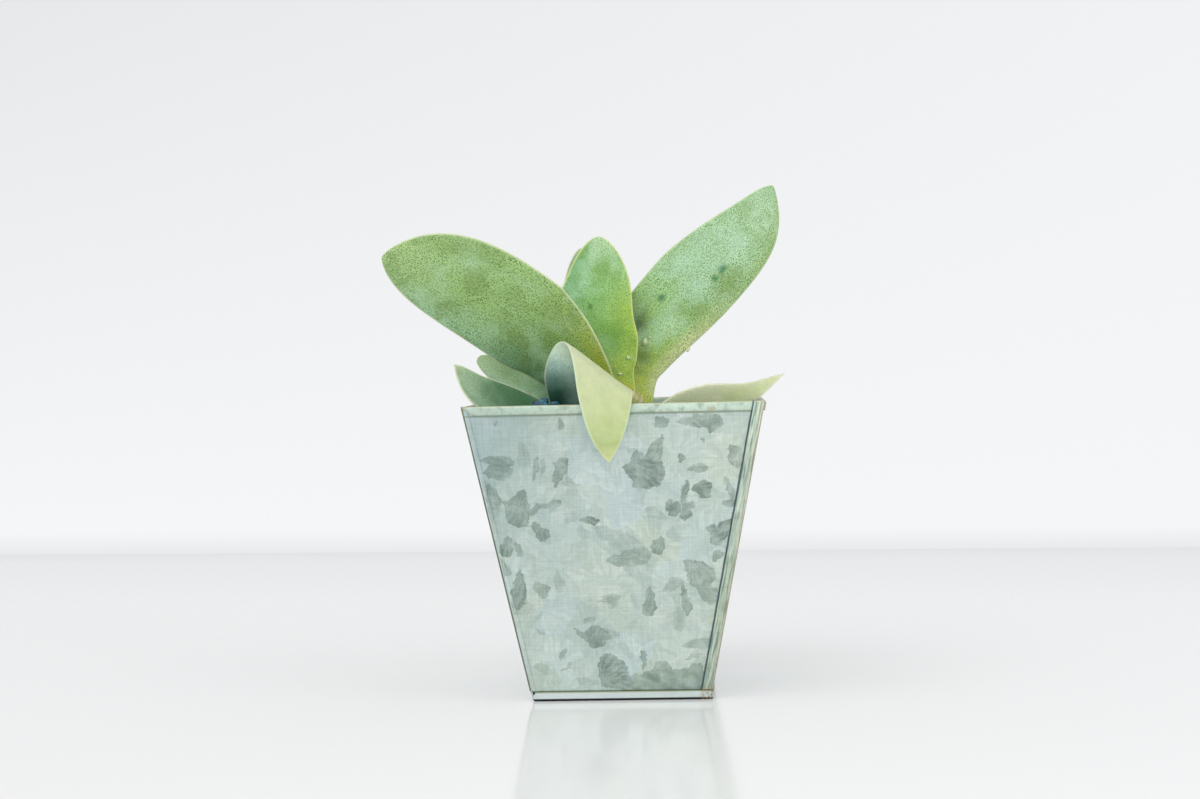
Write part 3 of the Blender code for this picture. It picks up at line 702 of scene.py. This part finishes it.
def leaf_surface(leaf, t, turn):
    """The point on the skin at t along the spine and a turn round it, and the way the skin faces there."""
    half, fade = leaf_outline(leaf, t)
    depth = leaf["thick"] / 2 * (1 - TIP_THINNING * t) * math.sqrt(fade)
    rise = depth * math.copysign(abs(math.sin(turn)) ** MARGIN_BLUNTNESS, math.sin(turn))
    centre, across, face = leaf_frame(leaf, t)
    rise += leaf["lift"] * half * math.cos(turn) ** 2
    point = centre + across * half * math.cos(turn) + face * rise
    out = face * math.sin(turn) if abs(math.sin(turn)) > 0.2 else across * math.cos(turn)
    return point, out.normalized()


def grow_leaf(name, leaf):
    """A ball drawn out along the spine into a blade, one pole at the stem and the other at the tip."""
    blade = start_piece(name + "_blade", bpy.ops.mesh.primitive_uv_sphere_add, segments=LEAF_SIDES,
                        ring_count=LEAF_RINGS, radius=1)
    places = {"along": [], "side": [], "upper": [], "edge": [], "length": [], "breadth": []}
    steps = [through(leaf["spine"], step / SPINE_STEPS) for step in range(SPINE_STEPS + 1)]
    spine_length = sum((near - far).length for near, far in zip(steps, steps[1:]))
    for vert in blade.data.vertices:
        t = min(max((vert.co.z + 1) / 2, 0.0), 1.0)
        turn = math.atan2(vert.co.y, vert.co.x)
        side = math.cos(turn)
        half = leaf_outline(leaf, t)[0]
        vert.co = leaf_surface(leaf, t, turn)[0] * MM
        places["along"].append(t)
        places["side"].append(side)
        places["upper"].append(math.sin(turn))
        places["edge"].append((1 - abs(side)) * half)
        places["length"].append(t * spine_length)
        places["breadth"].append(side * half)
    for place, values in places.items():
        blade.data.attributes.new(place, "FLOAT", "POINT").data.foreach_set("value", values)
    blade.data.shade_smooth()
    return blade


def leaf_skin(name, under, bloom, blotch, dots, margin, flanks=(), upper=None, upper_dots=0.2, patches=(),
              translucency=0.0):
    """Leaf skin: colours along the blade and towards its flanks, a waxy bloom and olive blotches in
    clouds, a fine dark stipple, and a pale margin where the two faces meet. Patches lie at a length and
    a breadth on one face, in millimetres."""
    skin, node, shader, _ = new_finish(name)
    known = {}
    for attribute in ("along", "side", "upper", "edge", "length", "breadth"):
        known[attribute] = node("Attribute", attribute_name=attribute).node.outputs["Fac"]
    facing = node("Math GREATER_THAN", known["upper"], 0.0)
    face = node("Math MULTIPLY", facing, FACES_APART)
    flat = node("CombineXYZ", known["length"], known["breadth"], face)
    cloud = node("TexNoise", flat, 1 / 15, 4, 0.6)  # clouds of wax, 15 mm
    mottle = node("TexNoise", flat, 1 / 3.5, 3)  # an uneven tone, 3.5 mm
    shifted = node("Math MULTIPLY_ADD", cloud, 0.24, node("Math SUBTRACT", known["along"], 0.12))
    body = node("ValToRGB", shifted, stops=under)
    for code, side_from, side_to, strength, start, full, fading, end in flanks:
        share = node("MapRange", node("Math MULTIPLY_ADD", cloud, 0.3, known["side"]), side_from + 0.15,
                     side_to + 0.15)
        near = node("Math MULTIPLY", node("MapRange", known["along"], start, full),
                    node("MapRange", known["along"], end, fading))
        share = node("Math MULTIPLY", node("Math MULTIPLY", share, near), strength)
        body = node("Mix RGBA", share, body, colour(code))
    for length, breadth, upside, reach, code, strength in patches:
        away = node("VectorMath DISTANCE", flat, (length, breadth, FACES_APART * upside))
        away = node("Math MULTIPLY_ADD", mottle, reach, away)
        share = node("MapRange", away, 1.8 * reach, 0.8 * reach, 0.0, strength)
        body = node("Mix RGBA", share, body, colour(code))
    hazed = node("MapRange", cloud, 0.5, 0.68)
    hazed = node("Math MULTIPLY", hazed, node("MapRange", known["along"], 0.2, 0.45, 0.25))
    body = node("Mix RGBA", node("Math MULTIPLY", hazed, bloom[1]), body, colour(bloom[0]))
    patchy = node("TexNoise", flat, 1 / 9, 3, {"Distortion": 0.6})  # olive blotches, 9 mm
    olive = node("MapRange", patchy, 0.48, 0.66)
    body = node("Mix RGBA", node("Math MULTIPLY", olive, blotch[1]), body, colour(blotch[0]))
    cell = node("TexVoronoi 2D", flat, 1 / DOT_SPACING)
    size = node("SeparateColor", cell.node.outputs["Color"])
    reach = node("Math MULTIPLY_ADD", size, 0.28, 0.18)
    dotted = node("MapRange", node("Math SUBTRACT", reach, cell), -0.04, 0.08)
    dense = node("Math MULTIPLY_ADD", node("MapRange", mottle, 0.3, 0.7), 0.5, 0.5)
    dense = node("Math MULTIPLY", dense, node("Math MULTIPLY_ADD", hazed, -0.5, 1.0))
    dotted = node("Math MULTIPLY", dotted, dense)
    if upper:
        body = node("Mix RGBA", facing, body, node("ValToRGB", shifted, stops=upper))
        dotted = node("Math MULTIPLY", dotted, node("Math MULTIPLY_ADD", facing, upper_dots - 1, 1.0))
    grey = node("Math MULTIPLY_ADD", mottle, 0.3, 0.85)
    body = node("Mix RGBA", 1.0, body, node("CombineColor", grey, grey, grey), blend_type="MULTIPLY")
    body = node("Mix RGBA", node("Math MULTIPLY", dotted, dots[1]), body, colour(dots[0]))
    rim = node("MapRange", node("Math MULTIPLY_ADD", mottle, 0.35, known["edge"]), margin[1] + 0.4, 0.25)
    body = node("Mix RGBA", node("Math MULTIPLY", rim, margin[2]), body, colour(margin[0]))
    feed(shader, "Base Color", body)
    wax = node("MapRange", {"Value": hazed, "To Min": 0.42, "To Max": 0.58})
    feed(shader, "Roughness", wax)
    shader.inputs["Specular IOR Level"].default_value = 0.25
    shader.inputs["Subsurface Weight"].default_value = translucency
    shader.inputs["Subsurface Radius"].default_value = (0.8, 1.0, 0.5)
    shader.inputs["Subsurface Scale"].default_value = GLOW_DEPTH * MM
    height = node("Math MULTIPLY_ADD", dotted, -0.06, node("Math MULTIPLY", mottle, 0.35))
    dent = node("Bump", {"Height": height, "Distance": MM, "Strength": 0.5})
    feed(shader, "Normal", dent)
    return skin


SKINS = {
    "leaf_upper_left": dict(
        under=[(0.0, "#5c8a4c"), (0.22, "#628e56"), (0.4, "#80aa68"), (0.6, "#98bc76"), (0.85, "#9cbe7a"),
               (1.0, "#a8c688")],
        flanks=[("#98c09c", -0.2, -0.95, 0.7, 0.3, 0.5, 0.85, 1.0),
                ("#a6b034", 0.15, 0.7, 0.95, 0.0, 0.1, 0.3, 0.6),
                # Painted shade on the lower side towards the foot, under the front leaf.
                ("#3c6a4a", 0.2, -0.6, 0.85, 0.0, 0.05, 0.4, 0.66)],
        bloom=("#a8cba6", 0.6), blotch=("#76944a", 0.55), dots=("#38582c", 0.78),
        margin=("#ced8ae", 0.5, 0.85)),
    "leaf_upper_right": dict(
        under=[(0.0, "#b8c44c"), (0.2, "#b4c650"), (0.3, "#9cba54"), (0.42, "#a0c884"), (0.55, "#a8cc9c"),
               (0.75, "#b2d4aa"), (0.9, "#aecfa4"), (1.0, "#9fc290")],
        flanks=[("#cdd49a", -0.55, -0.9, 0.9, 0.02, 0.1, 0.45, 0.65),
                ("#98b46c", -0.55, -0.95, 0.75, 0.5, 0.7, 0.95, 1.1),
                # Painted shadow of the centre leaf along the left side near the foot.
                ("#5a7040", 0.35, 0.85, 0.85, 0.08, 0.15, 0.3, 0.42)],
        bloom=("#b4d8bc", 0.55), blotch=("#86a862", 0.45), dots=("#3c6634", 0.8),
        margin=("#bcd3a2", 0.45, 0.8),
        patches=[(61.5, -8.0, 1, 6.0, "#7f9f52", 0.75), (49.0, -7.6, 1, 5.5, "#84a456", 0.7),
                 (33.5, 6.2, 1, 5.5, "#4c6634", 0.95), (40.8, -4.5, 1, 4.0, "#b4d090", 0.65),
                 (44.6, 5.4, 1, 1.3, "#3f7f52", 0.85), (59.5, -3.4, 1, 1.3, "#4a8a5a", 0.85),
                 (63.0, -2.9, 1, 1.5, "#3f8056", 0.85), (27.0, -2.5, 1, 4.5, "#5f7a30", 0.75),
                 (20.0, -3.0, 1, 3.5, "#7c8c36", 0.5)]),
    "leaf_centre": dict(
        under=[(0.0, "#bcb440"), (0.2, "#a2b648"), (0.45, "#86b860"), (0.7, "#92c07c"), (1.0, "#b2d0a4")],
        flanks=[("#74ab7c", -0.1, -0.85, 0.8, 0.2, 0.4, 0.85, 1.0),
                ("#a2c24c", 0.1, 0.75, 0.85, 0.0, 0.1, 0.6, 0.85)],
        bloom=("#a8cfae", 0.45), blotch=("#6f9c3e", 0.6), dots=("#3c6c30", 0.65),
        margin=("#dadc88", 0.6, 0.9),
        patches=[(26.0, 5.5, 0, 6.0, "#6c9c38", 0.75), (36.9, -1.8, 0, 1.1, "#3a7038", 0.85)]),
    "leaf_centre_back": dict(
        under=[(0.0, "#7c9a5c"), (0.5, "#86a67c"), (1.0, "#a4c09c")],
        bloom=("#a4c8a4", 0.4), blotch=("#7aa34e", 0.3), dots=("#4e7a40", 0.45),
        margin=("#d2dfc0", 0.5, 0.9)),
    "leaf_front": dict(
        # Painted light on the underside seen below the arch: its ramp runs from near-black green at the foot,
        # painted shade, to near white towards the arch, paler than the leaf so that it looks lit; the dark
        # flank is painted shade too.
        under=[(0.0, "#173a32"), (0.15, "#214a3e"), (0.25, "#437462"), (0.32, "#a8d6c0"), (0.39, "#d0f4e4"),
               (0.48, "#e4f8dc")],
        flanks=[("#c4dec8", -0.7, -0.15, 0.8, 0.22, 0.32, 0.5, 0.6),
                ("#2c5648", -0.25, -0.7, 0.8, 0.15, 0.22, 0.3, 0.42)], bloom=("#8fb2a4", 0.2),
        blotch=("#3c6450", 0.15), dots=("#1f4234", 0.3),
        margin=("#c6d6b4", 0.6, 0.85), upper_dots=0.12,
        upper=[(0.3, "#b6c09e"), (0.5, "#c8ceaa"), (0.7, "#bfc99a"), (0.88, "#afbe82"), (0.96, "#c2ca8e"),
               (1.0, "#d0bf84")]),
    "leaf_low_left": dict(
        under=[(0.0, "#2c5034"), (0.5, "#426c48"), (0.64, "#587e5a"), (0.77, "#93b28e"), (0.9, "#a2bd98"),
               (1.0, "#c0cea6")],
        bloom=("#8fb09a", 0.35), blotch=("#476f48", 0.35), dots=("#2e5236", 0.45),
        margin=("#e0e2c4", 0.5, 0.9)),
    "leaf_mid_left": dict(
        under=[(0.0, "#3f6a46"), (0.5, "#65906a"), (0.62, "#86ae82"), (0.8, "#a4c498"), (1.0, "#b2ca9c")],
        flanks=[("#a0ac70", 0.3, 0.95, 0.7, 0.1, 0.3, 0.9, 1.05),
                ("#c0d8bc", -0.35, -0.9, 0.75, 0.5, 0.7, 0.9, 1.0)],
        bloom=("#8fb49a", 0.4), blotch=("#6f9050", 0.4), dots=("#3e6438", 0.5), margin=("#b4c898", 0.4, 0.8)),
    "leaf_low_right": dict(
        under=[(0.0, "#8ca468"), (0.5, "#98b07c"), (1.0, "#b4c284")],
        bloom=("#a8c09a", 0.4), blotch=("#8aa468", 0.3), dots=("#5c7c48", 0.4),
        margin=("#e4e8b4", 0.5, 0.85), upper_dots=0.5, translucency=0.8,
        # The upper face's near-white tones are paler than the leaf: painted light on a face that the lamps
        # reach little.
        upper=[(0.0, "#f0f0c8"), (0.3, "#fafad4"), (0.55, "#fafad2"), (0.7, "#d8e0b4"), (0.9, "#c0cf9c"),
               (1.0, "#d2dc84")]),
}
for name, leaf in LEAVES.items():
    blade = grow_leaf(name, leaf)
    coat(blade, leaf_skin("waxy dotted skin of the " + name.replace("_", " "), **SKINS[name]))
    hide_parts(name)
    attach(blade, "root")

# --- Leaf sheath -----------------------------------------------------------------------------------
# The dry, papery foot of an old leaf, still clasping the front of the stem. It is ribbed along its
# length, and beige where it has withered.

SHEATH = dict(
    spine=[(2.6, -9.5, 95.0), (4.2, -11.6, 99.6), (6.0, -12.2, 102.8), (6.6, -11.0, 105.0)],
    across=[(1.0, 0.25, -0.4), (0.8, 0.3, -0.7)],
    width=8.5, thick=1.4, base=0.8, widest=0.35, swell=1.0, full=2.4, tip=0.6, lift=0.08,
)
RIBS = 3.4  # radians a millimetre, which makes a rib every 1.85 mm
papery, node, shader, place = new_finish("dry ribbed leaf sheath")
breadth = node("Attribute", attribute_name="breadth").node.outputs["Fac"]
rib = node("Math SINE", node("Math MULTIPLY", breadth, RIBS))
blotch = node("TexNoise", place, 1 / (2.5 * MM), 3)
rib_share = node("Math MULTIPLY_ADD", rib, 0.07, blotch)
feed(shader, "Base Color",
     node("ValToRGB", rib_share, stops=[(0.3, "#8c9050"), (0.5, "#b2b470"), (0.68, "#d0ca98")]))
shader.inputs["Roughness"].default_value = 0.7
feed(shader, "Normal", node("Bump", {"Height": rib, "Distance": 0.15 * MM, "Strength": 0.5}))
sheath = grow_leaf("old_leaf", SHEATH)
coat(sheath, papery)
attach(sheath, "root")

# --- Water drops -----------------------------------------------------------------------------------
# A few drops of water left from watering: beads on the centre leaf and the upper right one, the largest run
# down to a teardrop, and one hanging from the right leaf's lower edge. They are given a pale colour and are
# only partly clear: a painted highlight.

DROPS = [  # leaf, share along the spine, degrees round the blade, length and breadth
    ("leaf_upper_right", 0.315, 93, 2.9, 2.1), ("leaf_upper_right", 0.335, 95, 1.1, 0.9),
    ("leaf_upper_right", 0.388, 177, 2.0, 1.6), ("leaf_centre", 0.29, -45, 1.4, 1.3),
    ("leaf_centre", 0.2, -68, 0.9, 2.2), ("leaf_centre", 0.245, -52, 0.7, 0.6),
]
DROP_NARROWING = 0.9  # how much a drop's upper end narrows
DROP_FLATTENING = 0.8
DROP_LIFT = 0.15  # its middle's height over the skin, as a share of its breadth
water, node, shader, place = new_finish("clear water")
# A pale colour through a partly clear body: painted highlight on the drops.
shader.inputs["Base Color"].default_value = colour("#eef4c8")
shader.inputs["Transmission Weight"].default_value = 0.4
shader.inputs["IOR"].default_value = 1.333
ripple = node("TexNoise", place, 1 / (2 * MM), 1)
feed(shader, "Roughness", node("MapRange", ripple, 0.3, 0.7, 0.0, 0.04))
bead = start_piece("water_bead", bpy.ops.mesh.primitive_uv_sphere_add, segments=24, ring_count=16, radius=0.5)
for vert in bead.data.vertices:
    narrowing = 1 - DROP_NARROWING * max(vert.co.z, 0)
    vert.co = Vector((vert.co.x * narrowing, vert.co.y * narrowing * DROP_FLATTENING, vert.co.z))
beads = []
for leaf_name, share, degrees, length, breadth in DROPS:
    at, out = leaf_surface(LEAVES[leaf_name], share, math.radians(degrees))
    down = (Vector((0, 0, 1)) - out.z * out).normalized()
    sideways = down.cross(out)
    turn = Matrix((sideways * -breadth, out * breadth, down * length)).transposed().to_4x4()
    middle = Matrix.Translation((at + out * DROP_LIFT * breadth) * MM)
    beads.append(copy_to(bead, middle @ Matrix.Scale(MM, 4) @ turn))
drops = join_copies("water_drops", beads, bead)
drops.data.shade_smooth()
coat(drops, water)
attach(drops, "root")

# --- Table and backdrop ----------------------------------------------------------------------------
# A glossy white table top whose far edge stands well behind the plant, before a plain pale wall.

TABLE_BACK = 525.0
TABLE_SKEW = -0.12  # how its far edge slants
TABLE_WIDTH = 6000
TABLE_FRONT = -3000
EDGE_BLUR = 60.0  # how far from its far edge the table has another tone
EDGE_REACH = 260.0  # how far from there its own colour goes on
WALL_WIDTH = 9000
WALL_RISE = 4500
WALL_MIDDLE = 500
WALL_BACK = 1600


def pale_stage(name, code, roughness, gloss):
    """A plain finish for the table or the wall, before its glow."""
    finish, node, shader, place = new_finish(name)
    shader.inputs["Base Color"].default_value = colour(code)
    shader.inputs["Roughness"].default_value = roughness
    shader.inputs["Specular IOR Level"].default_value = gloss
    return finish, node, shader, place


def shown_share(node):
    """1 for what the camera, a reflection or clear water sees, and 0 for the light that falls on things."""
    seen = node("LightPath").node.outputs
    shown = node("Math MAXIMUM", seen["Is Camera Ray"], seen["Is Glossy Ray"])
    return node("Math MAXIMUM", shown, seen["Is Transmission Ray"])


def show_colour(node, finish, shader, share, shown):
    """Mixes a plain glow of a colour over the shader."""
    glow = node("Emission", shown)
    both = node("MixShader", share, shader.outputs[0], glow)
    feed(finish.node_tree.nodes["Material Output"], "Surface", both)


table = start_piece("table_top", bpy.ops.mesh.primitive_plane_add, size=1)
for vert in table.data.vertices:
    side = TABLE_WIDTH * vert.co.x
    vert.co = Vector((side, TABLE_FRONT if vert.co.y < 0 else TABLE_BACK + TABLE_SKEW * side, 0)) * MM
finish, node, shader, place = pale_stage("glossy white table", "#eeeeee", 0.12, 0.25)
from_edge = node("VectorMath DOT_PRODUCT", place, (TABLE_SKEW / MM, -1 / MM, 0))
from_edge = node("Math ADD", from_edge, TABLE_BACK)
blur = node("Mix RGBA", node("MapRange", from_edge, 0.0, EDGE_BLUR), colour("#e3e4e5"), colour("#e8e9ea"))
share = node("Math MULTIPLY", shown_share(node), node("MapRange", from_edge, EDGE_REACH, EDGE_BLUR))
show_colour(node, finish, shader, share, blur)
coat(table, finish)
wall = start_piece("back_wall", bpy.ops.mesh.primitive_plane_add, size=1)
for vert in wall.data.vertices:
    vert.co = Vector((WALL_WIDTH * vert.co.x, WALL_BACK, WALL_RISE * vert.co.y + WALL_MIDDLE)) * MM
finish, node, shader, place = pale_stage("pale wall", "#eceff3", 0.9, 0.0)
# The wall's tones, placed in metres: a little darker at the left and just over the table's far edge.
split = node("SeparateXYZ", place).node.outputs
upper = node("Mix RGBA", node("MapRange", split["X"], -0.9, 0.9), colour("#e6e7e8"), colour("#f3f4f6"))
wash = node("Mix RGBA", node("MapRange", split["Z"], -0.05, 0.55), colour("#f5f6f7"), upper)
above_edge = node("Math MULTIPLY_ADD", split["X"], 0.011, split["Z"])
wash = node("Mix RGBA", node("MapRange", above_edge, -0.075, -0.105), wash, colour("#e6e7e8"))
show_colour(node, finish, shader, shown_share(node), wash)
coat(wall, finish)

# --- Light -----------------------------------------------------------------------------------------
# Soft white light from all round, a large soft lamp at the upper left front, a weaker one at the right
# and a small faint one low in front.

world = bpy.data.worlds.new("white studio")
bpy.context.scene.world = world
world.use_nodes = True
node = partial(add_node, world.node_tree)
level = node("MapRange", {"Value": shown_share(node), "To Min": 0.72, "To Max": 1.0})
background = world.node_tree.nodes["Background"]
background.inputs["Color"].default_value = colour("#ffffff")
feed(background, "Strength", level)


def soft_lamp(name, size, power, place, aim):
    """A square area lamp turned towards a point, in metres and watts."""
    lamp = bpy.data.lights.new(name, "AREA")
    lamp.size = size
    lamp.energy = power
    holder = bpy.data.objects.new(name, lamp)
    holder.location = Vector(place)
    holder.rotation_euler = (Vector(aim) - holder.location).to_track_quat("-Z", "Y").to_euler()
    bpy.context.scene.collection.objects.link(holder)


soft_lamp("key_lamp", 1.8, 14, (-0.9, -1.1, 1.5), (0, 0, 0.08))
soft_lamp("fill_lamp", 1.2, 6, (1.3, -0.8, 0.8), (0, 0, 0.08))
soft_lamp("front_lamp", 0.6, 2.2, (0.15, -1.0, 0.15), (0, 0, 0.1))

# --- Camera ----------------------------------------------------------------------------------------
# A 64 mm lens three quarters of a metre in front of the pot's axis, a little above the rim. Its turns are
# in degrees.

CAMERA_PLACE = Vector((33.9, -752.9, 117.1))
CAMERA_PAN = 3.12
CAMERA_PITCH = -1.14
CAMERA_ROLL = 1.28

lens = bpy.data.cameras.new("camera")
lens.lens = 63.84
lens.sensor_width = 36
camera = bpy.data.objects.new("camera", lens)
aim = Matrix.Translation(CAMERA_PLACE * MM)
for degrees, axis in [(CAMERA_PAN, "Z"), (CAMERA_PITCH, "X"), (CAMERA_ROLL, "Y"), (90, "X")]:
    aim = aim @ Matrix.Rotation(math.radians(degrees), 4, axis)
camera.matrix_world = aim
bpy.context.scene.collection.objects.link(camera)
bpy.context.scene.camera = camera
bpy.context.scene.view_settings.view_transform = "Standard"
